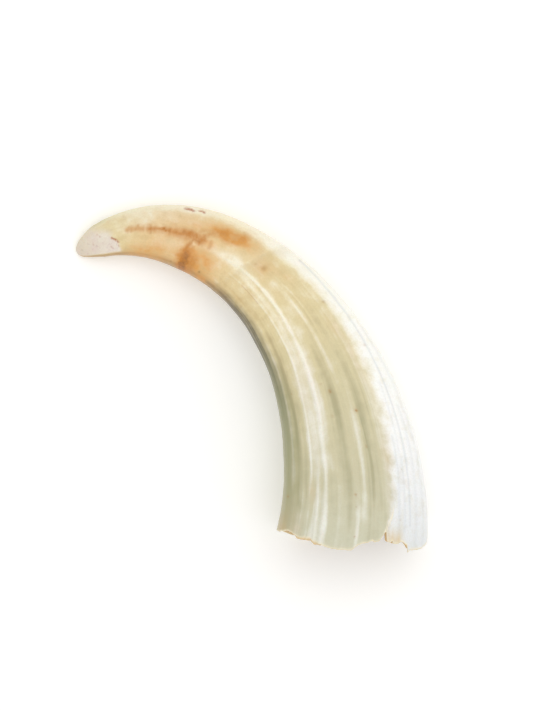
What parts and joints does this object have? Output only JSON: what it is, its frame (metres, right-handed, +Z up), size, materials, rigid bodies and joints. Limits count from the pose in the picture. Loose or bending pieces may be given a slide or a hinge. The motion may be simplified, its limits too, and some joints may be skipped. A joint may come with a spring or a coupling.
{
  "type": "boar tusk",
  "caption": "Curved boar tusk lying on its side, hollow at its broken base, grooved along its length and worn flat at the tip.",
  "frame": {"origin": "bottom centre of the tusk's box, on the surface that it lies on", "axes": "+Z up from the surface, -Y out of the hollow base, -X the way the worn tip points"},
  "size_m": [0.0778, 0.0768, 0.0235],
  "materials": {
    "enamel": "satin"
  },
  "bodies": {
    "root": {"tusk": "enamel"}
  },
  "joints": []
}
